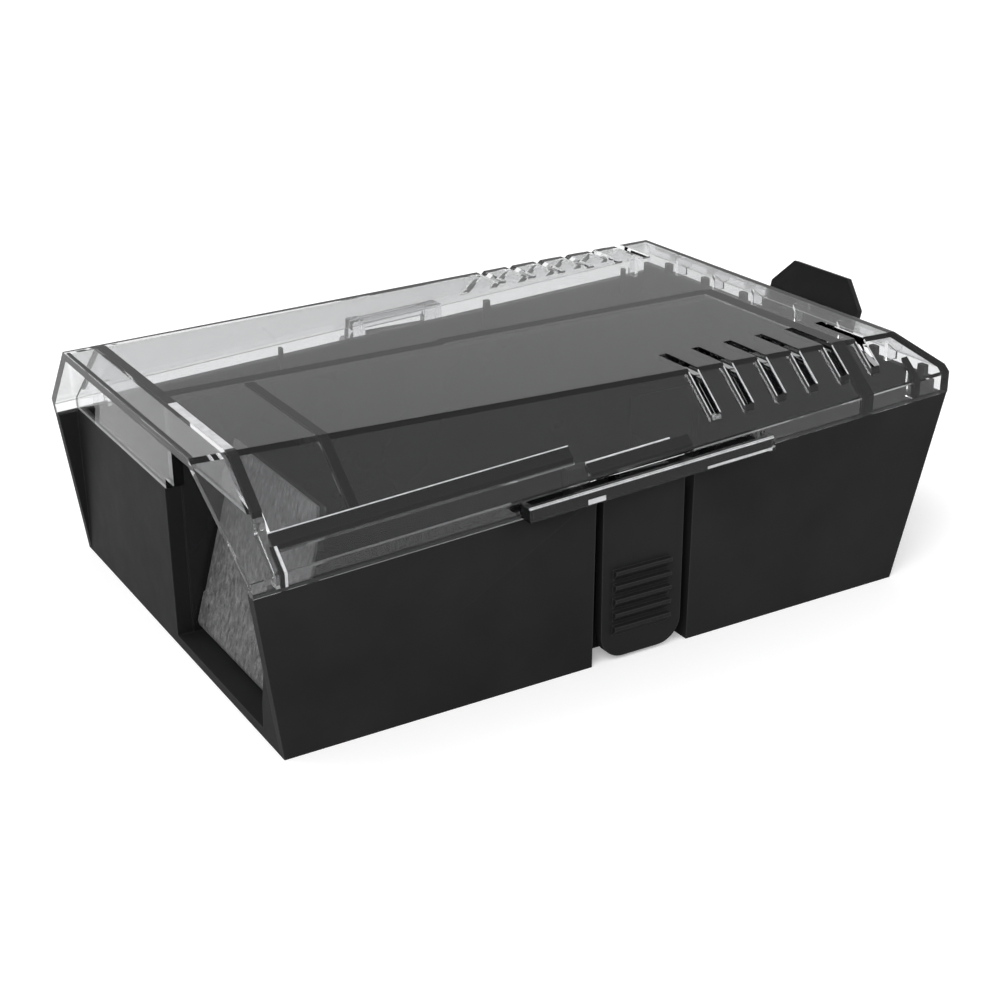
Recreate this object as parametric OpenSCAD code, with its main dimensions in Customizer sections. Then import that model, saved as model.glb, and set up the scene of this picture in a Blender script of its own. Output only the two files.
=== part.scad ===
// Small rodent station: a black tub with a hinged clear lid, a sprung tipping flap in the entrance,
// an inner lane, a bait tray, a thumb latch on the front and a lift-up release gate on one end.
// Frame: +Z up, +X towards the release gate, +Y towards the lid hinge, z = 0 on the underside.

/* [Tub] */
// Length of the rim
rim_len = 150; // [146:1:154]
// Half width of the tub at the underside
half_w = 50.7; // [50.4:0.1:51]
// Height of the rim at the entrance end
rim_low = 31.6; // [31:0.1:32]
// Height of the rim at the gate end
rim_high = 38.8; // [38.4:0.1:39.2]
// Wall and floor thickness
wall = 2; // [1.8:0.1:2.2]
// Thickness of the end wall round the entrance
entry_wall = 3.2; // [3:0.1:3.4]

/* [Lid] */
// Height of the flat top
top_z = 50.2; // [50:0.1:51]
// Thickness of the clear shell
lid_wall = 1.8; // [1.6:0.1:2]
// Rise of the long slopes for 1 mm of width
slope = 0.84; // [0.8:0.01:0.88]
// Depth of the stiffening ribs under the shell
rib_depth = 0.5; // [0.4:0.1:0.8]
// Number of vent slots on each side
vents = 6; // [3:1:6]
// Distance between vent slots
vent_pitch = 7.75; // [7:0.05:8]

/* [Latch] */
// Width of the thumb lever
lever_w = 18; // [17:0.5:18.5]
// Number of grip bars on the lever
grip_bars = 5; // [3:1:5]

/* [Flap] */
// Lean of the flap from upright when it is shut
flap_lean = 16; // [14:1:18]
// Height of the flap above its pivot
flap_h = 35; // [33:0.5:36]

/* [Gate] */
// Half width of the sliding gate
gate_half = 14.7; // [14:0.1:15]
// Distance of the pull tab from the end wall
tab_out = 7.05; // [6:0.05:8]

/* [Hidden] */
$fn = 48;
slip = 0.05;          // radial clearance of a pin in a hole that turns on it
snug = 0.02;          // radial clearance of a pin in a hole that holds it
bond = 0.02;          // glue line of a piece bonded to the lid

// Tub
rim_x = rim_len / 2;
rim_tilt = atan((rim_high - rim_low) / rim_len);
rim_mid = (rim_low + rim_high) / 2;
foot_l = -71.2;       // entrance end of the underside
foot_r = 64.6;        // gate end of the underside
lean_l = 0.124;       // outward lean of the entrance wings for 1 mm of height
lean_r = (rim_x - foot_r) / rim_high;
draft = 0.017;        // outward draft of the long walls for 1 mm of height
end_wall_top = 32.6;
inner_x = foot_l + entry_wall;
inner_half = half_w - wall;
post_pitch = 14.23;
post_shift = -3.5;    // of the row of posts at the gate end
lip_x = [rim_x - 3.1, rim_x - 1.9];
lip_top = 41.3;       // raised lip along the gate end
post_top = 43.1;

// Lid
side = 51.5;          // half width of the lid
crease_low = 34.65;   // height of the crease above the skirt at the entrance end
crease_high = 43.1;   // and at the gate end
crease_tilt = atan((crease_high - crease_low) / rim_len);
crease_mid = (crease_low + crease_high) / 2;
fin_t = 0.9;          // of the fins that steady the lid against the tub
fin_offset = 5.5;     // of the fins at the gate end from the posts
bevel_x = 67.8;       // where the flat top meets the bevel at the gate end
bevel_z = 44.3;
bevel = (top_z - bevel_z) / (rim_x - bevel_x);
end_share = 0.67;     // thickness of the shell's end face, as a share of the rest
curtain_x = foot_l;   // clear wall across the entrance end
header_z = 41.4;      // its lower edge over the entrance
curtain_step = [-7, 34.6];  // corner where that edge steps down beside the end wall
vent_x = 20.3;        // first vent slot
vent_w = 2;
hinge_y = 54.2;
hinge_z = 32.6;
hinge_r = 1.2;
knuckle_r = 2.4;
knuckle = [-2.8, 13];
arm_w = 3;
arm_gap = 0.4;

// Ribs under the shell, each between two corners in plan
ribs = [
    [[-70.6, -45.5], [-68.6, 45]],              // over the end wall
    [[curtain_x, -0.6], [-11, 1.4]],            // over the divider
    [[-11.5, 0.2], [56, 2.2]],
    [[-54.4, -46.5], [-52.4, -2.1]],            // across the lane
    [[53, -49.6], [56, 1.4]],                   // over the cross wall
    [[-69.6, -46.7], [-11, -44.8]],             // along the near slope
    [[-9.5, -48.9], [13, -48]]
];

// Front latch
latch_x = 1.85;
recess_w = 21.6;
recess_back = 44.6;
latch_face = 50.9;
latch_pivot = [-46.9, 20];
latch_pin_r = 1;
lever_t = 2;

// Entrance flap
flap_pivot = [-65, 4.4];
flap_pin_r = 1;
flap_y = [-40.6, -2.4];
flap_corner = [2.4, 7];     // cut off its near top corner
pad_x = -2.2;         // front of the grip pad, from the pivot
pad_t = 0.6;
plate_t = 1.4;

// Inner walls
divider_y = [-1.8, 0.2];
divider_top = 47.6;
cross_x = [54, 56];
screw_x = [-40, 0, 28];
screw_y = 2.6;

// Bait tray, and the centres of its cup and rods
tray = [[-36, 9], [16, 43]];
tray_z = wall + 0.1;
cup_at = [-22, 26];
rod_at = [[0, 20], [0, 33]];

// Release gate, measured along the leaning end wall
gate_t = 1.6;
gate_gap = 0.5;
gate_z = [3.7, 37.6];
exit_z = [5, 29];
sill_z = 2.3;
rail_w = 2.9;
rail_h = 4;
rail_top = 33;
frame_bolt_z = [8, 28];

// Outline drawn in X and Z, given a width in Y
module along_y(w) rotate([90, 0, 0]) translate([0, 0, -w / 2]) linear_extrude(w) children();
// Outline drawn in Y and Z, given a length in X
module along_x(len) rotate([90, 0, 90]) translate([0, 0, -len / 2]) linear_extrude(len) children();
module span_x(a, b) translate([(a + b) / 2, 0, 0]) along_x(b - a) children();
module span_y(a, b) translate([0, (a + b) / 2, 0]) along_y(b - a) children();
// Cylinder along X or Y between two stations, centred on the other two coordinates
module rod_x(a, b, y, z, r) translate([a, y, z]) rotate([0, 90, 0]) cylinder(r = r, h = b - a);
module rod_y(a, b, x, z, r) translate([x, b, z]) rotate([90, 0, 0]) cylinder(r = r, h = b - a);
// Box between two corners
module box(a, b) translate(a) cube(b - a);
// Frame whose XY plane is the tilted rim
module on_rim() translate([0, 0, rim_mid]) rotate([0, -rim_tilt, 0]) children();
// Frame whose YZ plane is the outer face of the leaning end wall
module on_gate() translate([foot_r, 0, 0]) rotate([0, atan(lean_r), 0]) children();
// Frame of the shut flap, with its pivot as the origin
module on_flap() translate([flap_pivot[0], 0, flap_pivot[1]]) rotate([0, flap_lean, 0]) children();

function rim_at(x) = rim_mid + x * tan(rim_tilt);

module tub_outside() intersection() {
    along_y(120) polygon([[foot_l, 0], [foot_r, 0], [foot_r + lean_r * rim_high, rim_high],
        [foot_l - lean_l * rim_low, rim_low]]);
    along_x(180) polygon([[-half_w, 0], [half_w, 0], [half_w + draft * 40, 40], [-half_w - draft * 40, 40]]);
}

module tub_inside() intersection() {
    along_y(120) polygon([[inner_x, wall], [foot_r + lean_r * wall - wall, wall],
        [foot_r + lean_r * 60 - wall, 60], [inner_x, 60]]);
    along_x(180) polygon([[-inner_half, 0], [inner_half, 0], [inner_half + draft * 60, 60],
        [-inner_half - draft * 60, 60]]);
}

// Opening in the entrance wall: square at the inner jamb, leaning at the outer one
module entrance() span_x(foot_l - 10, inner_x + 0.01)
    polygon([[divider_y[0], wall], [-42, wall], [-42.4, 7], [-48.2, rim_low + 5],
        [divider_y[0], rim_low + 5]]);

module recess_block() {
    x = recess_w / 2;
    intersection() {
        box([latch_x - x - wall, -half_w - 0.4, 0], [latch_x + x + wall, -recess_back + wall, 60]);
        union() {
            tub_outside();
            box([-40, -recess_back, 0], [40, -recess_back + wall, rim_at(latch_x) + 2.2]);
        }
    }
}

// Raised lip on the gate end, and tapered posts that locate the lid there and on the hinge side
module rim_posts() {
    box([lip_x[0], -inner_half, rim_high - 4], [lip_x[1], inner_half, lip_top]);
    for (i = [-3 : 3]) translate([(lip_x[0] + lip_x[1]) / 2, i * post_pitch + post_shift, 0])
        rotate([0, 0, 90]) post(1.3, rim_high - 4, post_top);
    for (p = [[-25, 0.5], [27.3, 0.9], [65.8, 0.5]])
        translate([p[0], inner_half, 0]) post(p[1], rim_at(p[0]) - 4, rim_at(p[0]) + 2.3);
}

// One post, as thick as the lip and narrower towards its head; half is half the width of its foot
module post(half, foot, head) along_y(lip_x[1] - lip_x[0])
    polygon([[-half, foot], [half, foot], [0.7 * half, head], [-0.7 * half, head]]);

module hinge_knuckle() {
    rod_x(knuckle[0], knuckle[1], hinge_y, hinge_z, knuckle_r);
    span_x(knuckle[0], knuckle[1]) polygon([[half_w, 26], [hinge_y, hinge_z - knuckle_r],
        [hinge_y, hinge_z + 1.4], [half_w, hinge_z + 1.4]]);
}

module base_tub() color("#2b2c2f") difference() {
    union() {
        difference() {
            tub_outside();
            difference() {
                tub_inside();
                recess_block();
            }
            box([foot_l - 10, -inner_half - 0.3, -1], [foot_l, inner_half + 0.3, 60]);
        }
        box([foot_l, divider_y[0], wall], [inner_x, inner_half, end_wall_top]);
        recess_block();
        rim_posts();
        hinge_knuckle();
    }
    entrance();
    box([latch_x - recess_w / 2, -half_w - 2, -1], [latch_x + recess_w / 2, -recess_back, 60]);
    rod_x(latch_x - recess_w, latch_x + recess_w, latch_pivot[0], latch_pivot[1], latch_pin_r + snug);
    rod_y(-half_w + 0.9, -inner_half + 1, flap_pivot[0], flap_pivot[1], flap_pin_r + snug);
    rod_x(knuckle[0] - 1, knuckle[1] + 1, hinge_y, hinge_z, hinge_r + snug);
    on_gate() {
        box([-6, -11, exit_z[0]], [6, 11, exit_z[1]]);
        for (y = [-1, 1], z = frame_bolt_z)
            rod_x(-6, 6, y * (gate_half + rail_w / 2 + 0.5), z, 0.8 + snug);
    }
    for (x = screw_x) translate([x, screw_y, 0]) countersunk(0.1);
}

// Countersunk screw clearance in the floor
module countersunk(gap) {
    translate([0, 0, -1]) cylinder(r = 1.5 + gap, h = 6);
    translate([0, 0, -0.01]) cylinder(r1 = 2.7 + gap, r2 = 1.5 + gap, h = 1.3);
}

module lane_divider() color("#242527") difference() {
    union() {
        span_y(divider_y[0], divider_y[1])
            polygon([[inner_x + 0.1, wall + 0.05], [cross_x[1], wall + 0.05], [cross_x[1], divider_top],
                [inner_x + 0.1, divider_top]]);
        for (x = screw_x) translate([x, screw_y, wall + 0.05]) {
            cylinder(r = 2.8, h = 9);
            translate([-1, -2.6, 0]) cube([2, 2.6, 9]);
        }
    }
    box([33, divider_y[0] - 1, 0], [51, divider_y[1] + 1, 30]);
    rod_y(-4, -0.8, flap_pivot[0], flap_pivot[1], flap_pin_r + snug);
    for (x = screw_x) translate([x, screw_y, 0]) cylinder(r = 1.3 + snug, h = 10);
}

module cross_wall() color("#242527") span_x(cross_x[0], cross_x[1])
    polygon([[-inner_half + 0.1, wall + 0.05], [divider_y[0] - 0.05, wall + 0.05],
        [divider_y[0] - 0.05, divider_top], [-39.5, divider_top], [-47.6, 40], [-49.1, 37],
        [-inner_half - 0.1, 20]]);

module divider_screws() color("silver") for (x = screw_x) translate([x, screw_y, 0.1]) difference() {
    union() {
        cylinder(r1 = 2.6, r2 = 1.3, h = 1.25);
        cylinder(r = 1.3, h = 9.4);
    }
    for (turn = [0, 90]) rotate([0, 0, turn]) translate([-1.3, -0.3, -0.1]) cube([2.6, 0.6, 0.8]);
}

// Bait tray with a lip, a seat for the cup and sockets for the two rods
module bait_tray() color("#303134") difference() {
    box([tray[0][0], tray[0][1], tray_z], [tray[1][0], tray[1][1], tray_z + 7]);
    box([tray[0][0] + 1.4, tray[0][1] + 1.4, tray_z + 1.4],
        [tray[1][0] - 1.4, tray[1][1] - 1.4, tray_z + 9]);
    for (p = rod_at) translate([p[0], p[1], tray_z + 0.6]) cylinder(r = 1.3 + snug, h = 3);
}

module bait_cup() color("#d8d8d2") translate([cup_at[0], cup_at[1], tray_z + 1.4]) rotate_extrude() polygon([
    [0, 0], [9.5, 0], [11, 8], [11.8, 8], [11.8, 9], [10, 9], [8.7, 1.2], [0, 1.2]]);

module bait_rods() color("silver") for (p = rod_at) translate([p[0], p[1], tray_z + 0.6])
    rotate_extrude() polygon([[0, 0], [1.3, 0], [1.3, 25], [0.9, 26.6], [0, 27]]);

// Frame on the end wall that guides the gate
module gate_frame() color("#232426") on_gate() difference() {
    union() {
        for (s = [-1, 1]) {
            span_x(0.05, rail_h) polygon([[s * (gate_half + 0.35), sill_z],
                [s * (gate_half + rail_w + 1), sill_z], [s * (gate_half + rail_w + 1), rail_top - 1],
                [s * (gate_half + rail_w), rail_top], [s * (gate_half + 0.35), rail_top]]);
            span_x(gate_gap + gate_t + 0.3, rail_h) polygon([[s * (gate_half - 1.8), sill_z],
                [s * (gate_half + 0.5), sill_z], [s * (gate_half + 0.5), rail_top],
                [s * (gate_half - 1.8), rail_top]]);
        }
        box([0.05, -gate_half - 0.5, sill_z], [rail_h, gate_half + 0.5, sill_z + 1.1]);
    }
    for (y = [-1, 1], z = frame_bolt_z) {
        rod_x(-1, 6, y * (gate_half + rail_w / 2 + 0.5), z, 0.8 + snug);
        rod_x(rail_h - 1, 6, y * (gate_half + rail_w / 2 + 0.5), z, 1.4);
    }
}

module gate_frame_screws() color("silver") on_gate() for (y = [-1, 1], z = frame_bolt_z)
    translate([0, y * (gate_half + rail_w / 2 + 0.5), z]) difference() {
        union() {
            rod_x(-1.9, rail_h - 0.9, 0, 0, 0.8);
            rod_x(rail_h - 1, rail_h - 0.2, 0, 0, 1.35);
        }
        box([rail_h - 0.5, -0.2, -1.0], [rail_h, 0.2, 1.0]);
    }

// Sliding gate, stepped out at the top to a chamfered pull tab
module release_gate() color("#1f2022") on_gate() {
    tab_t = 1.2;
    tab_top = 54;
    chamfer = 5.8;
    box([gate_gap, -gate_half, gate_z[0]], [gate_gap + gate_t, gate_half, gate_z[1]]);
    box([gate_gap, -gate_half, gate_z[1] - 1.6], [tab_out + tab_t, gate_half, gate_z[1]]);
    span_x(tab_out, tab_out + tab_t) polygon([[-gate_half, gate_z[1] - 1.6], [gate_half, gate_z[1] - 1.6],
        [gate_half, tab_top - chamfer], [gate_half - chamfer, tab_top], [chamfer - gate_half, tab_top],
        [-gate_half, tab_top - chamfer]]);
    for (y = [-8, 8]) translate([0, y, 0]) along_y(1.4) polygon([[gate_gap + 1, gate_z[1] - 1.6],
        [tab_out + 0.5, gate_z[1] - 1.6], [gate_gap + 1, gate_z[1] - 8]]);
    for (z = [40.6, 43.4, 46.2]) rod_y(-8, 8, tab_out + tab_t, z, 0.5);
}

// Solid under the roof, pulled in by t on every face but the bottom
module roof(t) intersection() {
    drop = t * sqrt(1 + bevel * bevel);
    end = rim_x - end_share * t;
    left = t > 0 ? -100 : foot_l - lean_l * rim_low;
    along_y(120) polygon([[left, t > 0 ? 0 : rim_low], [end, t > 0 ? 0 : rim_high],
        [end, bevel_z + bevel * (rim_x - end) - drop],
        [rim_x - (top_z - t - bevel_z + drop) / bevel, top_z - t],
        [t > 0 ? -100 : foot_l - lean_l * top_z, top_z - t]]);
    translate([0, 0, crease_mid]) rotate([0, -crease_tilt, 0]) along_x(260) roof_outline(t);
}

module roof_outline(t) {
    in = t * (slope - sqrt(1 + slope * slope));
    polygon([[-side + t, -80], [side - t, -80], [side - t, in], [side - t - 36, in + 36 * slope],
        [t + 36 - side, in + 36 * slope], [t - side, in]]);
}

// What lies in the children's slab between the shell and a depth below it
module under_roof(depth) difference() {
    intersection() {
        roof(lid_wall / 2);
        children();
    }
    roof(lid_wall + depth);
}

module lid_ribs() intersection() {
    on_rim() box([-90, -60, 0.1], [90, 60, 40]);
    union() {
        under_roof(rib_depth) for (r = ribs) box([r[0][0], r[0][1], 30], [r[1][0], r[1][1], 60]);
        under_roof(2) box([-70.6, -49.8, 30], [-68.6, -42, 60]);
        under_roof(4) for (i = [-3 : 3])
            translate([71, i * post_pitch + post_shift - fin_offset, lip_top + 0.2]) cube([3, fin_t, 20]);
        under_roof(3) for (x = [-63.6, 68]) box([x, 47, 30], [x + fin_t, 50, 60]);
        under_roof(3) box([66.7, -50, 30], [66.7 + fin_t, -47.6, 60]);
    }
}

// Clear wall that closes the end above the tub, cut higher over the entrance
module lid_curtain() {
    far = inner_half + 0.3;
    near = divider_y[0] - 0.8;
    low = end_wall_top + 0.05;
    intersection() {
        roof(lid_wall / 2);
        span_x(curtain_x, curtain_x + 2) polygon([[far, 60], [far, low], [near, low],
            [near, curtain_step[1]], curtain_step, [curtain_step[0], header_z],
            [-side, header_z], [-side, 60]]);
    }
}

// Ledge for the fingertips, with a drip channel behind it
module lid_ledge() on_rim() difference() {
    box([-25, -side - 3.4, 0.6], [28.5, -side + 0.8, 3.4]);
    box([-24, -side - 2.2, 1.8], [27.5, -side - 0.2, 9]);
}

// Tongue bonded inside the skirt, standing behind the lever's lip when the lid is shut
module lid_catch() color("#dfe6ea", 0.35) {
    box([latch_x - 5.5, -47.5, 29.8], [latch_x + 5.5, -46.3, 37.7]);
    box([latch_x - 5.5, lid_wall + bond - side, 36], [latch_x + 5.5, -46.3, 37.7]);
}

// Two arms and a stiffening bar, bonded to the skirt on the hinge side
module lid_hinge_frame() color("#dfe6ea", 0.35) difference() {
    a = knuckle[0] - arm_gap - arm_w;
    b = knuckle[1] + arm_gap + arm_w;
    union() {
        for (x = [a, b - arm_w]) {
            rod_x(x, x + arm_w, hinge_y, hinge_z, knuckle_r);
            span_x(x, x + arm_w) polygon([[hinge_y - knuckle_r, hinge_z], [hinge_y + knuckle_r, hinge_z],
                [hinge_y + 1.4, 39.4], [side + bond, 39.4], [side + bond, 36.2]]);
        }
        on_rim() {
            box([a, side + bond, 3.3], [b, hinge_y + 1.2, 4.2]);
            box([a, hinge_y, 0.5], [b, hinge_y + 1.2, 4.2]);
        }
    }
    rod_x(-20, 30, hinge_y, hinge_z, hinge_r + slip);
}

module vent_slots() for (i = [0 : vents - 1], s = [-1, 1]) {
    x = vent_x + i * vent_pitch;
    box([x - vent_w / 2, s < 0 ? -47.2 : 29.9, 42], [x + vent_w / 2, s < 0 ? -29.9 : 47.2, 60]);
}

module lid_canopy() color("#dfe6ea", 0.35) difference() {
    union() {
        difference() {
            roof(0);
            roof(lid_wall);
        }
        lid_ribs();
        lid_curtain();
        lid_ledge();
    }
    vent_slots();
}

module lid_hinge_pin() color("silver") {
    a = knuckle[0] - arm_gap - arm_w - 0.4;
    b = knuckle[1] + arm_gap + arm_w + 1.6;
    rod_x(a - 1, a, hinge_y, hinge_z, 2.1);
    rod_x(a, b, hinge_y, hinge_z, hinge_r);
}

module hinge_pin_clip() color("#8d9196") {
    a = knuckle[1] + arm_gap + arm_w + 0.4;
    difference() {
        rod_x(a, a + 0.8, hinge_y, hinge_z, 2.2);
        rod_x(a - 1, a + 2, hinge_y, hinge_z, hinge_r + snug);
    }
}

// Rocking thumb lever with wedge-shaped grip bars
module latch_lever() color("#26272a") difference() {
    r = 5;
    top = rim_at(latch_x - lever_w / 2) - 0.3;
    x = lever_w / 2;
    union() {
        translate([latch_x, 0, 0]) span_y(-latch_face, lever_t - latch_face) {
            translate([-x, 0.9 + r]) square([lever_w, top - 0.9 - r]);
            translate([-x + r, 0.9]) square([lever_w - 2 * r, r + 1]);
            for (s = [-1, 1]) translate([s * (x - r), 0.9 + r]) circle(r);
        }
        for (i = [0 : grip_bars - 1]) {
            z = 19.1 - i * 2.84;
            span_x(latch_x - 6.6, latch_x + 6) polygon([[0.5 - latch_face, z], [-latch_face - 1.1, z - 0.1],
                [-latch_face - 1.1, z - 0.8], [-latch_face, z - 2.2], [0.5 - latch_face, z - 2.2]]);
        }
        box([latch_x - 5.5, lever_t - latch_face - 0.5, 31.2], [latch_x + 5.5, -47.9, 32.8]);
        for (s = [-1, 1]) {
            a = latch_x + s * 6.6 - 1.9;
            rod_x(a, a + 3.8, latch_pivot[0], latch_pivot[1], 1.9);
            box([a, -49.3, latch_pivot[1] - 1.9], [a + 3.8, latch_pivot[0], latch_pivot[1] + 1.9]);
        }
    }
    rod_x(-20, 30, latch_pivot[0], latch_pivot[1], latch_pin_r + slip);
}

module latch_pivot_pin() color("silver") {
    reach = recess_w / 2 + 1.8;
    rod_x(latch_x - reach, latch_x + reach, latch_pivot[0], latch_pivot[1], latch_pin_r);
}

// Wire coil along Z with n turns, closed by flat ends
module coil(r, wire, pitch, n) {
    steps = 16;
    sides = 8;
    last = steps * n;
    ring = function(i) [for (j = [0 : sides - 1]) let (a = 360 * i / steps, b = 360 * j / sides)
        [(r + wire * cos(b)) * cos(a), (r + wire * cos(b)) * sin(a), pitch * i / steps + wire * sin(b)]];
    points = [for (i = [0 : last]) each ring(i)];
    skin = [for (i = [0 : last - 1], j = [0 : sides - 1]) let (k = (j + 1) % sides)
        [i * sides + j, i * sides + k, (i + 1) * sides + k, (i + 1) * sides + j]];
    polyhedron(points, concat([[for (j = [sides - 1 : -1 : 0]) j]], skin,
        [[for (j = [0 : sides - 1]) last * sides + j]]));
}

module latch_spring() color("#9a9da1") translate([latch_x - 2.6, latch_pivot[0], latch_pivot[1]])
    rotate([0, 90, 0]) coil(1.5, 0.24, 0.62, 8);

module flap_plate() color("#26272a") on_flap() difference() {
    union() {
        span_x(pad_x + pad_t, pad_x + pad_t + plate_t) flap_outline();
        rod_y(flap_y[0], flap_y[1], 0, 0, -pad_x - pad_t);
    }
    rod_y(-60, 10, 0, 0, flap_pin_r + slip);
}

// Front view of the flap, wider beside the barrel and with its near top corner cut back
module flap_outline() polygon([
    [flap_y[1], 0], [flap_y[1], 5.8], [flap_y[1] - 0.6, 5.8], [flap_y[1] - 0.6, flap_h],
    [flap_y[0] + flap_corner[0], flap_h], [flap_y[0], flap_h - flap_corner[1]], [flap_y[0], 0]]);

module flap_grip_pad() color("#6f7173") on_flap() {
    span_x(pad_x, pad_x + pad_t - 0.01) flap_outline();
    difference() {
        rod_y(flap_y[0], flap_y[1], 0, 0, -pad_x);
        rod_y(-60, 10, 0, 0, -pad_x - pad_t + 0.01);
        box([-4, -60, 0.01], [4, 4, 8]);
        box([0.4, -60, -8], [4, 4, 8]);
    }
}

module flap_pivot_pin() color("silver") rod_y(-half_w + 1, -0.9, flap_pivot[0], flap_pivot[1], flap_pin_r);

module flap_spring() color("#9a9da1") translate([flap_pivot[0], flap_y[0] - 0.6, flap_pivot[1]])
    rotate([90, 0, 0]) coil(1.5, 0.24, 0.62, 6);

base_tub();
lane_divider();
cross_wall();
divider_screws();
bait_tray();
bait_cup();
bait_rods();
gate_frame();
gate_frame_screws();
release_gate();
lid_canopy();
lid_hinge_frame();
lid_catch();
lid_hinge_pin();
hinge_pin_clip();
latch_lever();
latch_pivot_pin();
latch_spring();
flap_plate();
flap_grip_pad();
flap_pivot_pin();
flap_spring();
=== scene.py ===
import math

import bmesh
import bpy
from mathutils import Matrix, Vector
from mathutils.noise import noise as noise_at


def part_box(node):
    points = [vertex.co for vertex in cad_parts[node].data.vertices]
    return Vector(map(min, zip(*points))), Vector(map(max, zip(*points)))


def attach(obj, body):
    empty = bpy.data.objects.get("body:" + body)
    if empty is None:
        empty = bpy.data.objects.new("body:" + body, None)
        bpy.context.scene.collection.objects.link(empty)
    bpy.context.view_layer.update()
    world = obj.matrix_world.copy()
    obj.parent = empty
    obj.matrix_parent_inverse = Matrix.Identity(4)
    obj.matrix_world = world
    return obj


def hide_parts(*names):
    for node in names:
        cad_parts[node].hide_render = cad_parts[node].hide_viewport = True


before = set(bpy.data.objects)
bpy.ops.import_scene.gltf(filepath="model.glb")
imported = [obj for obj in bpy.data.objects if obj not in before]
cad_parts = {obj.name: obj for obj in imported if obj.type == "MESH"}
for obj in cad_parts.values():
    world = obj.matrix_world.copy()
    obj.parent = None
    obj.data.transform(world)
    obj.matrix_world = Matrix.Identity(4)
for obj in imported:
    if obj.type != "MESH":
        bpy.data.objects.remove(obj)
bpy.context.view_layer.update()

MM = 0.001

# The lid's outer surface, in millimetres: a flat top, two long slopes and a crease above the skirt.
# The crease and the tub's rim both rise towards the release gate.
ROOF_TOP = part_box("lid_canopy")[1].z / MM
ROOF_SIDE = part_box("lid_canopy")[1].y / MM
ROOF_SLOPE = 0.84
CREASE_MID, CREASE_RISE = 38.875, 0.05633
RIM_MID, RIM_RISE = 35.2, 0.048

# The flap's pivot, in millimetres, its lean from upright, its near edge, its height above the pivot,
# what is cut off its near top corner, and its far edge below and above a small step
FLAP_PIVOT = (-65.0, 4.4)
FLAP_LEAN = 16
FLAP_NEAR, FLAP_TOP = -40.6, 35.0
FLAP_CORNER = (2.4, 7.0)
FLAP_FAR_LOW, FLAP_FAR_HIGH, FLAP_STEP = -2.4, -3.0, 5.8


# ---------------------------------------------------------------- node helpers
def make(tree, kind, inputs=None, **settings):
    """A new node with its settings and its inputs, each a value or another node's output."""
    node = tree.nodes.new(kind)
    for name, value in settings.items():
        setattr(node, name, value)
    for name, value in (inputs or {}).items():
        if isinstance(value, bpy.types.NodeSocket):
            tree.links.new(value, node.inputs[name])
        else:
            node.inputs[name].default_value = value
    return node


def new_material(name):
    material = bpy.data.materials.new(name)
    material.use_nodes = True
    material.node_tree.nodes.clear()
    return material, material.node_tree


def place(tree):
    """Coordinates of the object itself, in metres."""
    return make(tree, "ShaderNodeTexCoord").outputs["Object"]


def stretched(tree, scale):
    """Object coordinates stretched by a factor on each axis."""
    return make(tree, "ShaderNodeMapping", {"Vector": place(tree), "Scale": scale}).outputs["Vector"]


def noise(tree, size, detail, rough=0.5, vector=None):
    """Noise whose blotches are about size metres across."""
    inputs = {"Scale": 1 / size, "Detail": detail, "Roughness": rough}
    inputs["Vector"] = place(tree) if vector is None else vector
    return make(tree, "ShaderNodeTexNoise", inputs).outputs["Fac"]


def spread(tree, value, low, high, start=0.3, end=0.7):
    """A value between start and end, carried over to low and high."""
    inputs = {"Value": value, "From Min": start, "From Max": end, "To Min": low, "To Max": high}
    return make(tree, "ShaderNodeMapRange", inputs).outputs["Result"]


def tint(tree, factor, dark, light):
    node = make(tree, "ShaderNodeMix", data_type="RGBA")
    tree.links.new(factor, node.inputs[0])
    for slot, value in ((6, dark), (7, light)):
        if isinstance(value, bpy.types.NodeSocket):
            tree.links.new(value, node.inputs[slot])
        else:
            node.inputs[slot].default_value = (*value, 1)
    return node.outputs[2]


def edge_mask(tree, radius):
    """One on the sharp edges and zero on the faces."""
    rounded = make(tree, "ShaderNodeBevel", {"Radius": radius}, samples=4).outputs["Normal"]
    flat = make(tree, "ShaderNodeNewGeometry").outputs["Normal"]
    dot = make(tree, "ShaderNodeVectorMath", operation="DOT_PRODUCT")
    tree.links.new(rounded, dot.inputs[0])
    tree.links.new(flat, dot.inputs[1])
    return spread(tree, dot.outputs["Value"], 0.0, 1.0, 0.995, 0.85)


def finish_surface(tree, shader):
    tree.links.new(shader, make(tree, "ShaderNodeOutputMaterial").inputs["Surface"])


# ---------------------------------------------------------------- materials
def moulded_plastic(name, color, rough, specular):
    """Semi-gloss moulded plastic: fine grain, cloudy sheen and slightly polished edges."""
    material, tree = new_material(name)
    cloud = noise(tree, 22 * MM, 3)
    grain = noise(tree, 0.45 * MM, 2, 0.6)
    edges = edge_mask(tree, 0.35 * MM)
    dark = tuple(c * 0.82 for c in color)
    light = tuple(c * 1.22 for c in color)
    body = tint(tree, spread(tree, cloud, 0.0, 1.0), dark, light)
    worn = tint(tree, edges, body, tuple(c * 2.6 + 0.004 for c in color))
    scuffs = noise(tree, 6 * MM, 4, 0.6)
    roughness = spread(tree, scuffs, rough - 0.02, rough + 0.035)
    bump = make(tree, "ShaderNodeBump", {"Height": grain, "Strength": 0.6, "Distance": 0.012 * MM})
    shader = make(tree, "ShaderNodeBsdfPrincipled", {
        "Base Color": worn, "Roughness": roughness, "Specular IOR Level": specular,
        "Normal": bump.outputs["Normal"]})
    finish_surface(tree, shader.outputs["BSDF"])
    return material


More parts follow.
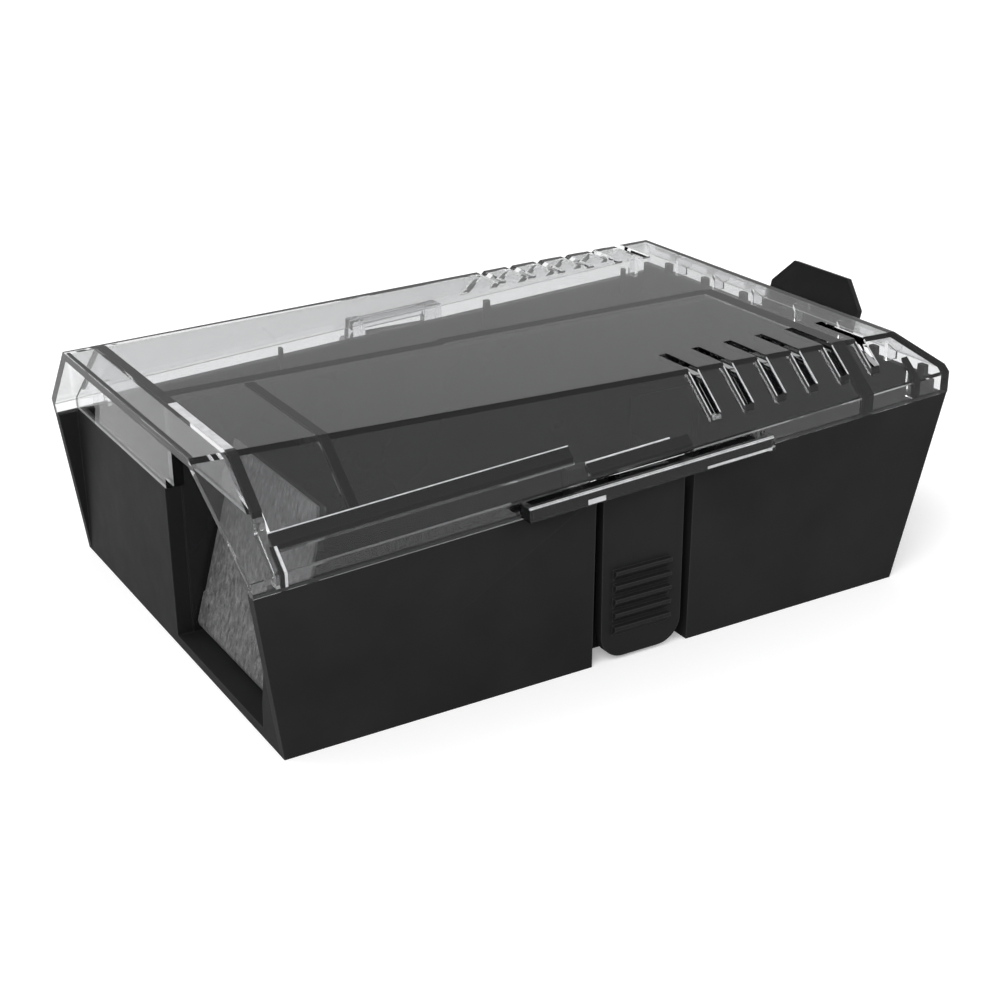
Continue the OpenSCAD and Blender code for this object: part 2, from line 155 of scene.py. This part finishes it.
def clear_plastic(name, color, rough):
    """Clear moulded plastic with faint haze. Lamps shine through it."""
    material, tree = new_material(name)
    haze = noise(tree, 9 * MM, 4, 0.6)
    ripple = noise(tree, 14 * MM, 1)
    bump = make(tree, "ShaderNodeBump", {"Height": ripple, "Strength": 0.25, "Distance": 0.005 * MM})
    glass = make(tree, "ShaderNodeBsdfPrincipled", {
        "Base Color": (*color, 1), "Roughness": spread(tree, haze, rough * 0.3, rough * 2.2),
        "IOR": 1.49, "Transmission Weight": 1.0, "Normal": bump.outputs["Normal"]})
    open_air = make(tree, "ShaderNodeBsdfTransparent", {"Color": (*(c * 0.94 for c in color), 1)})
    shadow = make(tree, "ShaderNodeLightPath").outputs["Is Shadow Ray"]
    mix = make(tree, "ShaderNodeMixShader", {0: shadow, 1: glass.outputs[0], 2: open_air.outputs[0]})
    finish_surface(tree, mix.outputs[0])
    return material


def mottled_skin(name):
    """Grained grey skin with streaks up the flap, blotches and dark pores."""
    material, tree = new_material(name)
    along_flap = make(tree, "ShaderNodeMapping", {
        "Vector": place(tree), "Rotation": (0, math.radians(-FLAP_LEAN), 0)}).outputs["Vector"]
    drawn_out = make(tree, "ShaderNodeMapping", {"Vector": along_flap, "Scale": (1, 1, 0.5)}).outputs["Vector"]
    streak = noise(tree, 0.8 * MM, 6, 0.72, drawn_out)
    blotch = noise(tree, 2.6 * MM, 4, 0.6, along_flap)
    pore = noise(tree, 0.3 * MM, 2, 0.5)
    base = tint(tree, spread(tree, streak, 0.0, 1.0, 0.36, 0.66), (0.026, 0.026, 0.0265), (0.2, 0.2, 0.203))
    shade = tint(tree, spread(tree, blotch, 0.0, 0.6, 0.35, 0.65), base, (0.082, 0.082, 0.0835))
    dark = tint(tree, spread(tree, pore, 0.0, 0.5, 0.55, 0.75), shade, (0.034, 0.034, 0.0347))
    height = make(tree, "ShaderNodeMath", {0: streak, 1: pore}, operation="ADD").outputs[0]
    bump = make(tree, "ShaderNodeBump", {"Height": height, "Strength": 0.8, "Distance": 0.12 * MM})
    shader = make(tree, "ShaderNodeBsdfPrincipled", {
        "Base Color": dark, "Roughness": spread(tree, streak, 0.5, 0.78), "Normal": bump.outputs["Normal"]})
    finish_surface(tree, shader.outputs["BSDF"])
    return material


def drawn_steel(name, color, rough):
    """Bright drawn wire or turned steel with fine lines and a faint film."""
    material, tree = new_material(name)
    lines = noise(tree, 0.35 * MM, 3, 0.6, stretched(tree, (0.12, 1, 1)))
    film = noise(tree, 3 * MM, 3)
    body = tint(tree, spread(tree, film, 0.0, 1.0), tuple(c * 0.8 for c in color), color)
    bump = make(tree, "ShaderNodeBump", {"Height": lines, "Strength": 0.4, "Distance": 0.01 * MM})
    shader = make(tree, "ShaderNodeBsdfPrincipled", {
        "Base Color": body, "Metallic": 1.0, "Roughness": spread(tree, film, rough - 0.06, rough + 0.1),
        "Normal": bump.outputs["Normal"]})
    finish_surface(tree, shader.outputs["BSDF"])
    return material


def painted_glint(name):
    """Pale strip of painted highlight and painted reflection along the edge of a clear rib."""
    material, tree = new_material(name)
    glint_mottle = noise(tree, 1.5 * MM, 4, 0.6)
    body = tint(tree, spread(tree, glint_mottle, 0.0, 1.0), (0.55, 0.55, 0.56), (0.8, 0.8, 0.81))
    bump = make(tree, "ShaderNodeBump", {"Height": glint_mottle, "Strength": 0.3, "Distance": 0.02 * MM})
    shader = make(tree, "ShaderNodeBsdfPrincipled", {
        "Base Color": body, "Roughness": spread(tree, glint_mottle, 0.3, 0.5), "Normal": bump.outputs["Normal"]})
    finish_surface(tree, shader.outputs["BSDF"])
    return material


def cup_plastic(name):
    """Matte off-white cup with faint dust blotches."""
    material, tree = new_material(name)
    dust = noise(tree, 2.5 * MM, 4, 0.6)
    body = tint(tree, spread(tree, dust, 0.0, 1.0), (0.66, 0.65, 0.61), (0.8, 0.8, 0.77))
    bump = make(tree, "ShaderNodeBump", {"Height": dust, "Strength": 0.3, "Distance": 0.03 * MM})
    shader = make(tree, "ShaderNodeBsdfPrincipled", {
        "Base Color": body, "Roughness": spread(tree, dust, 0.42, 0.6), "Normal": bump.outputs["Normal"]})
    finish_surface(tree, shader.outputs["BSDF"])
    return material


SHELL = moulded_plastic("black_shell", (0.0135, 0.0135, 0.0139), 0.46, 0.1)
INNER = moulded_plastic("black_inner", (0.011, 0.011, 0.0118), 0.2, 0.4)
TAB = moulded_plastic("black_tab", (0.006, 0.006, 0.0064), 0.38, 0.2)
# Painted shade: a near-black fill sunk inside the clear ribs and ledge, where the clear plastic only looks dark.
RIB_SHADE = moulded_plastic("painted_rib_strip", (0.004, 0.004, 0.0043), 0.5, 0.1)
# Painted highlights and painted reflections: a pale fill for thin strips along clear edges.
GLINT = painted_glint("painted_glint")
CLEAR = clear_plastic("clear_lid", (0.855, 0.86, 0.865), 0.005)
SKIN = mottled_skin("grip_skin")
STEEL = drawn_steel("bright_steel", (0.62, 0.62, 0.63), 0.24)
SPRING = drawn_steel("spring_steel", (0.4, 0.4, 0.41), 0.3)
CUP = cup_plastic("white_cup")
BY_NODE = {
    "base_tub": SHELL, "lane_divider": INNER, "cross_wall": INNER, "divider_screws": STEEL, "bait_tray": INNER,
    "bait_cup": CUP, "bait_rods": STEEL, "gate_frame": SHELL, "gate_frame_screws": STEEL, "release_gate": TAB,
    "lid_canopy": CLEAR, "lid_hinge_frame": CLEAR, "lid_catch": CLEAR, "lid_hinge_pin": STEEL,
    "hinge_pin_clip": SPRING, "latch_lever": SHELL, "latch_pivot_pin": TAB, "latch_spring": SPRING,
    "flap_plate": INNER, "flap_grip_pad": SKIN, "flap_pivot_pin": STEEL, "flap_spring": SPRING,
}


def dress(node, material, bevel=0.0):
    """Gives a CAD node its finish and, where bevel is set, small rounds on its sharp edges."""
    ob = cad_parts[node]
    ob.data.materials.clear()
    ob.data.materials.append(material)
    if bevel:
        weld = ob.modifiers.new("weld", "WELD")
        weld.merge_threshold = 0.002 * MM
        rounds = ob.modifiers.new("rounds", "BEVEL")
        rounds.width = bevel
        rounds.segments = 2
        rounds.limit_method = "ANGLE"
        rounds.angle_limit = math.radians(28)
        rounds.use_clamp_overlap = True
        rounds.harden_normals = True


ROUNDS = {"base_tub": 0.25, "latch_lever": 0.25, "release_gate": 0.3, "lane_divider": 0.2,
          "gate_frame": 0.2, "bait_tray": 0.2, "flap_plate": 0.15, "cross_wall": 0.2}
for node_name, finish_of in BY_NODE.items():
    dress(node_name, finish_of, ROUNDS.get(node_name, 0) * MM)


# ---------------------------------------------------------------- pieces
def add_mesh(name, points, faces, material):
    """A new piece from points in millimetres."""
    mesh = bpy.data.meshes.new(name)
    mesh.from_pydata([tuple(c * MM for c in p) for p in points], [], faces)
    shape = bmesh.new()
    shape.from_mesh(mesh)
    bmesh.ops.recalc_face_normals(shape, faces=shape.faces)
    shape.to_mesh(mesh)
    shape.free()
    mesh.materials.append(material)
    piece = bpy.data.objects.new(name, mesh)
    bpy.context.scene.collection.objects.link(piece)
    return piece


def grid_faces(rows, columns, start=0, flip=False):
    """Quads over a grid of points stored row by row."""
    faces = []
    for r in range(rows - 1):
        for c in range(columns - 1):
            a = start + r * columns + c
            quad = (a, a + 1, a + columns + 1, a + columns)
            faces.append(quad[::-1] if flip else quad)
    return faces


def slab_faces(rows, columns):
    """Faces of a slab whose two skins are equal grids of points, one after the other."""
    count = rows * columns
    faces = grid_faces(rows, columns) + grid_faces(rows, columns, count, True)
    rim = list(range(columns)) + [r * columns + columns - 1 for r in range(1, rows)]
    rim += [count - 1 - c for c in range(1, columns)] + [r * columns for r in range(rows - 2, 0, -1)]
    for i, a in enumerate(rim):
        b = rim[(i + 1) % len(rim)]
        faces.append((b, a, a + count, b + count))
    return faces


def crease_at(x):
    return CREASE_MID + CREASE_RISE * x


def ridge_at(x, depth):
    """Distance of the ridge from the middle, on a skin that lies depth under the lid's surface."""
    steep = math.hypot(1, ROOF_SLOPE) - 1
    return ROOF_SIDE - (ROOF_TOP - crease_at(x) + depth * steep) / ROOF_SLOPE


def under_roof(x, y, depth):
    """The point at x and y on a skin that lies depth under the lid's surface."""
    slope_z = crease_at(x) + ROOF_SLOPE * (ROOF_SIDE - abs(y)) - depth * math.hypot(1, ROOF_SLOPE)
    return (x, y, min(ROOF_TOP - depth, slope_z))


def skin_path(x, y_range, depth, skirt):
    """Points across the lid at depth under its surface, from the skirt's foot if skirt is set."""
    ridge = ridge_at(x, depth)
    folds = [y for y in (-ridge, ridge) if y_range[0] < y < y_range[1]]
    if not skirt:
        return [under_roof(x, y, depth) for y in (y_range[0], *folds, y_range[1])]
    wall_y = depth - ROOF_SIDE
    foot = (x, wall_y, RIM_MID + RIM_RISE * x + 0.3)
    return [foot] + [under_roof(x, y, depth) for y in (wall_y, *folds, y_range[1])]


def on_lid(piece):
    """Rides a piece inside the clear lid on the lid."""
    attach(piece, "lid")


def painted_rib_strip(name, x_range, y_range, material, top=1.05, bottom=2.1, skirt=False):
    """A painted strip inside one clear rib, following the lid's top, slopes and skirt: dark ones paint shade, pale
    ones paint highlights.
    """
    skins = []
    for depth in (top, bottom):
        for x in x_range:
            skins += skin_path(x, y_range, depth, skirt)
    columns = len(skins) // 4
    on_lid(add_mesh(name, skins, slab_faces(2, columns), material))


# Dark strips of painted shade inside the clear ribs, where the ribs look dark.
RIB_SHADES = {
    "end_rib_shade_1": ((-70.5, -68.7), (-4.9, 44.8)),
    "end_rib_shade_2": ((-70.5, -68.7), (-41.5, -31.6)),
    "divider_rib_shade_1": ((-70.0, -11.4), (-0.5, 1.3)),
    "divider_rib_shade_2": ((-11.3, 54.0), (0.3, 2.1)),
    "lane_rib_shade": ((-54.3, -52.5), (-44.6, -2.2)),
    "near_rib_shade_1": ((-69.4, -11.1), (-46.6, -44.9)),
}
for shade_name, (x_span, y_span) in RIB_SHADES.items():
    painted_rib_strip(shade_name, x_span, y_span, RIB_SHADE)
# More dark strips of painted shade, in the near rib, the lid's end edge, the cross rib and the corners.
painted_rib_strip("near_rib_shade_2", (-9.4, 12.9), (-49.7, -48.1), RIB_SHADE, 1.05, 1.7)
painted_rib_strip("end_edge_shade", (-76.95, -76.3), (-32, 32), RIB_SHADE, 0.3, 1.2)
SKIRT = -ROOF_SIDE
painted_rib_strip("cross_rib_shade", (53.1, 55.9), (SKIRT, 1.3), RIB_SHADE, 1.05, 1.7, True)
painted_rib_strip("corner_rib_shade", (-70.0, -69.3), (SKIRT, -46.8), RIB_SHADE, 0.9, 1.6, True)
painted_rib_strip("corner_fin_shade", (66.4, 67.9), (SKIRT, -46.4), RIB_SHADE, 0.9, 1.6, True)
# Pale strips: painted highlights on the ribs' edges and the white floor's painted reflection in them.
painted_rib_strip("end_rib_glint", (-70.4, -68.8), (-31.3, -5.3), GLINT, 1.0, 1.5)
painted_rib_strip("corner_glint", (-69.2, -68.7), (SKIRT, -46.9), GLINT, 0.9, 1.6, True)
painted_rib_strip("near_rib_glint_1", (-69.4, -11.1), (-44.88, -44.76), GLINT, 1.0, 1.4)
painted_rib_strip("near_rib_glint_2", (-9.4, 9.0), (-48.08, -47.88), GLINT, 1.0, 1.4)

# Painted highlights: pale strips along the edges of the vent slots on the near slope
VENTS, VENT_X, VENT_PITCH, VENT_HALF, VENT_FOOT = 6, 20.3, 7.75, 1.0, -47.1
for vent in range(VENTS):
    vent_x = VENT_X + vent * VENT_PITCH
    for edge, edge_x in (("left", vent_x - VENT_HALF - 0.16), ("right", vent_x + VENT_HALF + 0.04)):
        painted_rib_strip(f"vent_glint_{edge}_{vent + 1}", (edge_x, edge_x + 0.12),
                 (VENT_FOOT, -0.4 - ridge_at(vent_x, 0)), GLINT, 0.1, 0.3)


def on_rim(x, y, z):
    """A point given in the frame of the tilted rim."""
    tilt = math.atan(RIM_RISE)
    return (x * math.cos(tilt) - z * math.sin(tilt), y, RIM_MID + x * math.sin(tilt) + z * math.cos(tilt))


def painted_ledge_strip(name, outline, x_range, material=RIB_SHADE):
    """A painted strip inside the clear ledge: an outline in Y and Z along a stretch of the rim; dark by default, as
    painted shade.
    """
    points = [on_rim(x, y, z) for x in x_range for y, z in outline]
    count = len(outline)
    faces = [tuple(range(count)), tuple(range(count, 2 * count))]
    faces += [(i, (i + 1) % count, count + (i + 1) % count, count + i) for i in range(count)]
    on_lid(add_mesh(name, points, faces, material))


def frame_outline(y0, y1, z0, z1):
    return [(y0, z0), (y1, z0), (y1, z1), (y0, z1)]


LEDGE_FRONT, LEDGE_BACK = -54.6, -51.9
# Dark strips of painted shade inside the clear ledge.
painted_ledge_strip("ledge_channel_shade", [(LEDGE_FRONT, 2.8), (LEDGE_FRONT, 0.95), (LEDGE_BACK, 0.95), (LEDGE_BACK, 1.45),
                                  (LEDGE_FRONT + 0.5, 1.45), (LEDGE_FRONT + 0.5, 2.8)], (-24.2, 27.8))
painted_ledge_strip("ledge_end_shade", frame_outline(LEDGE_FRONT, LEDGE_BACK, 0.9, 3.1), (-24.85, -24.25))
# Pale strips: a painted highlight along the ledge's top and the floor's painted reflection through its foot.
painted_ledge_strip("ledge_top_glint", frame_outline(LEDGE_FRONT - 0.1, LEDGE_FRONT + 0.15, 2.95, 3.2), (-24.85, 28.3), GLINT)
painted_ledge_strip("ledge_glint_1", frame_outline(LEDGE_FRONT - 0.2, LEDGE_FRONT - 0.08, 0.75, 1.7), (-13, -9.3), GLINT)
painted_ledge_strip("ledge_glint_2", frame_outline(LEDGE_FRONT - 0.2, LEDGE_FRONT - 0.08, 0.75, 1.25), (13, 27.9), GLINT)


def on_flap(x, y, z):
    """A point given in the frame of the shut flap, with its pivot as the origin."""
    lean = math.radians(FLAP_LEAN)
    return (FLAP_PIVOT[0] + x * math.cos(lean) + z * math.sin(lean), y,
            FLAP_PIVOT[1] + z * math.cos(lean) - x * math.sin(lean))


def flap_edges(z):
    """Near and far edge of the flap at a height above its pivot."""
    cut = max(0.0, z - FLAP_TOP + FLAP_CORNER[1]) / FLAP_CORNER[1]
    return FLAP_NEAR + FLAP_CORNER[0] * cut, (FLAP_FAR_LOW if z < FLAP_STEP else FLAP_FAR_HIGH)


PAD_FRONT, PAD_BACK = -2.15, -1.62
PAD_CELL = 0.45


def pad_relief(y, z):
    """Height of the skin's grain in millimetres: long ridges up the flap with finer wrinkles on them."""
    ridges = noise_at(Vector((y / 0.9, z / 1.8, 3.1)))
    wrinkles = noise_at(Vector((y / 0.35, z / 0.6, 7.7)))
    return 0.07 * ridges + 0.03 * wrinkles


def pad_rows(heights):
    """Front and back points of the skin, row by row up the flap."""
    columns = round((FLAP_FAR_HIGH - FLAP_NEAR) / PAD_CELL)
    skins = []
    for front in (True, False):
        for z in heights:
            near, far = flap_edges(z)
            for c in range(columns + 1):
                y = near + (far - near) * c / columns
                edge = c in (0, columns) or z in (heights[0], heights[-1])
                relief = pad_relief(y, z) if front and not edge else 0.0
                skins.append(on_flap(PAD_FRONT - relief if front else PAD_BACK, y, z))
    return skins, columns + 1


def make_pad():
    """Grained grip skin on the front of the flap, and its wrap round the barrel."""
    steps = round(FLAP_TOP / PAD_CELL)
    heights = [FLAP_TOP * i / steps for i in range(steps + 1)]
    points, columns = pad_rows(heights)
    faces = slab_faces(len(heights), columns)
    shift = len(points)
    turns = [math.radians(180 + 6 * i) for i in range(16)]
    for radius in (-PAD_FRONT, -PAD_BACK):
        for turn in turns:
            for y in (FLAP_NEAR, FLAP_FAR_LOW):
                points.append(on_flap(radius * math.cos(turn), y, radius * math.sin(turn)))
    faces += [tuple(i + shift for i in face) for face in slab_faces(len(turns), 2)]
    pad = add_mesh("flap_grip_skin", points, faces, SKIN)
    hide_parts("flap_grip_pad")
    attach(pad, "flap")


WIRE_R = 0.24
COIL_R = 1.5
COIL_PITCH = 0.62
FLAP_TURNS, LATCH_TURNS = 6, 8


def wire(name, path, body):
    """A round spring wire along a path in millimetres."""
    curve = bpy.data.curves.new(name, "CURVE")
    curve.dimensions = "3D"
    curve.bevel_depth = WIRE_R * MM
    curve.bevel_resolution = 3
    curve.use_fill_caps = True
    spline = curve.splines.new("POLY")
    spline.points.add(len(path) - 1)
    for point, at in zip(spline.points, path):
        point.co = (*(c * MM for c in at), 1)
    curve.materials.append(SPRING)
    ob = bpy.data.objects.new(name, curve)
    bpy.context.scene.collection.objects.link(ob)
    bpy.context.view_layer.update()
    mesh = bpy.data.meshes.new_from_object(ob)
    bpy.data.objects.remove(ob)
    piece = bpy.data.objects.new(name, mesh)
    for face in mesh.polygons:
        face.use_smooth = True
    bpy.context.scene.collection.objects.link(piece)
    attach(piece, body)
    return piece


def helix(turns, place_at):
    """Points of a coil; place_at puts an angle's two coordinates and its advance where they belong."""
    steps = 28  # points per turn
    return [place_at(COIL_R * math.cos(2 * math.pi * i / steps), COIL_R * math.sin(2 * math.pi * i / steps),
                     COIL_PITCH * i / steps) for i in range(turns * steps + 1)]


def make_flap_spring():
    """Coil round the flap's pin, one leg along the floor and one up the back of the flap."""
    start_y = FLAP_NEAR - 0.6
    coil = helix(FLAP_TURNS, lambda a, b, along: on_flap(a, start_y - along, b))
    base_leg = [(FLAP_PIVOT[0] + 8.5, start_y + 0.1, 2.3), (FLAP_PIVOT[0] + 3.2, start_y + 0.05, 2.4)]
    piece = wire("flap_torsion_spring", base_leg + coil, "tub")
    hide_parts("flap_spring")
    end_y = start_y - FLAP_TURNS * COIL_PITCH
    leg = [(1.5, end_y, 0.0), (1.6, end_y, 1.0), (1.6, end_y + 0.3, 2.2), (1.3, end_y + 1.6, 3.3),
           (0.7, end_y + 3.4, 4.6), (0.2, end_y + 4.9, 5.8), (0.06, end_y + 5.8, 7.2), (0.06, end_y + 6.1, 9.6)]
    wire("flap_spring_leg", [on_flap(*point) for point in leg], "flap")


def make_latch_spring():
    """Coil round the latch pin, one leg on the recess wall and one on the back of the lever."""
    lo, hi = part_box("latch_spring")
    axis_y, axis_z = (lo.y + hi.y) / 2 / MM, (lo.z + hi.z) / 2 / MM
    start_x = lo.x / MM + WIRE_R
    coil = helix(LATCH_TURNS, lambda a, b, along: (start_x + along, axis_y + a, axis_z + b))
    wall_y = axis_y + 1.98
    wall_leg = [(start_x, wall_y, axis_z + 6.5), (start_x, wall_y, axis_z + 3.2), (start_x, axis_y + 1.6, axis_z + 1)]
    piece = wire("latch_torsion_spring", wall_leg + coil, "tub")
    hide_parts("latch_spring")
    end_x = start_x + LATCH_TURNS * COIL_PITCH
    leg = [(1.5, 0), (0.9, -1.3), (-0.9, -1.9), (-1.62, -3.4), (-1.7, -5.2), (-1.7, -7.2)]
    wire("latch_spring_leg", [(end_x, axis_y + y, axis_z + z) for y, z in leg], "latch")


make_pad()
make_flap_spring()
make_latch_spring()


# ---------------------------------------------------------------- stage, light and camera
def make_floor():
    """White floor that looks darker in reflections, as if the studio ended a little way off."""
    material, tree = new_material("studio_floor")
    cloud = noise(tree, 0.4, 3)
    color = tint(tree, cloud, (0.83, 0.83, 0.83), (0.86, 0.86, 0.86))
    shader = make(tree, "ShaderNodeBsdfPrincipled", {
        "Base Color": color, "Roughness": 0.8, "Specular IOR Level": 0.1, "Emission Color": (1, 1, 1, 1),
        "Emission Strength": 0.3})
    dimmer = tint(tree, cloud, (0.52, 0.52, 0.52), (0.56, 0.56, 0.56))
    mirrored = make(tree, "ShaderNodeBsdfDiffuse", {"Color": dimmer})
    path = make(tree, "ShaderNodeLightPath").outputs
    reflection = make(tree, "ShaderNodeMath", {0: path["Is Glossy Ray"], 1: path["Is Reflection Ray"]},
                      operation="MULTIPLY").outputs[0]
    mix = make(tree, "ShaderNodeMixShader", {0: reflection, 1: shader.outputs["BSDF"], 2: mirrored.outputs["BSDF"]})
    finish_surface(tree, mix.outputs[0])
    mesh = bpy.data.meshes.new("floor")
    half, lift = 12.0, 0.11 * MM  # just over the screw heads, which then show from below
    mesh.from_pydata([(-half, -half, lift), (half, -half, lift), (half, half, lift), (-half, half, lift)], [],
                     [(0, 1, 2, 3)])
    mesh.materials.append(material)
    floor = bpy.data.objects.new("floor", mesh)
    bpy.context.scene.collection.objects.link(floor)


def make_world():
    """Soft white studio: bright overhead, dimmer towards the horizon."""
    world = bpy.data.worlds.new("studio")
    bpy.context.scene.world = world
    world.use_nodes = True
    tree = world.node_tree
    tree.nodes.clear()
    way = make(tree, "ShaderNodeTexCoord").outputs["Generated"]
    height = make(tree, "ShaderNodeSeparateXYZ", {"Vector": way}).outputs["Z"]
    strength = spread(tree, height, 0.38, 0.62, 0.0, 0.9)
    shine = make(tree, "ShaderNodeBackground", {"Color": (1, 1, 1, 1), "Strength": strength})
    tree.links.new(shine.outputs[0], make(tree, "ShaderNodeOutputWorld").inputs["Surface"])


def soft_sun(name, towards, spread_deg, power):
    """A wide soft light that reaches the whole floor evenly, coming from a direction."""
    light = bpy.data.lights.new(name, "SUN")
    light.energy = power
    light.angle = math.radians(spread_deg)
    ob = bpy.data.objects.new(name, light)
    ob.location = Vector(towards)
    ob.rotation_mode = "QUATERNION"
    ob.rotation_quaternion = Vector(towards).to_track_quat("Z", "Y")
    bpy.context.scene.collection.objects.link(ob)


# The camera's azimuth, elevation and roll in degrees, and its place in metres, as fitted to the photo
CAMERA_TURN = (-30.757, 23.149, -0.394)
CAMERA_AT = (-0.1670, -0.2833, 0.15405)


def make_camera():
    azimuth, elevation, roll = (math.radians(a) for a in CAMERA_TURN)
    back = Vector((math.sin(azimuth) * math.cos(elevation), -math.cos(azimuth) * math.cos(elevation),
                   math.sin(elevation)))
    level = Vector((math.cos(azimuth), math.sin(azimuth), 0))
    rise = back.cross(level)
    right = level * math.cos(roll) + rise * math.sin(roll)
    up = rise * math.cos(roll) - level * math.sin(roll)
    camera = bpy.data.cameras.new("camera")
    camera.lens = 61.73
    camera.sensor_width = 36
    camera.clip_start = 0.01
    ob = bpy.data.objects.new("camera", camera)
    ob.matrix_world = Matrix.Translation(CAMERA_AT) @ Matrix((right, up, back)).transposed().to_4x4()
    bpy.context.scene.collection.objects.link(ob)
    bpy.context.scene.camera = ob


bpy.context.scene.view_settings.view_transform = "Standard"
make_floor()
make_world()
soft_sun("key_light", (-0.65, -0.5, 0.75), 35, 1.5)
soft_sun("side_light", (-0.5, 0.65, 0.9), 40, 0.8)
soft_sun("fill_light", (0.8, -0.75, 0.65), 30, 0.7)
make_camera()
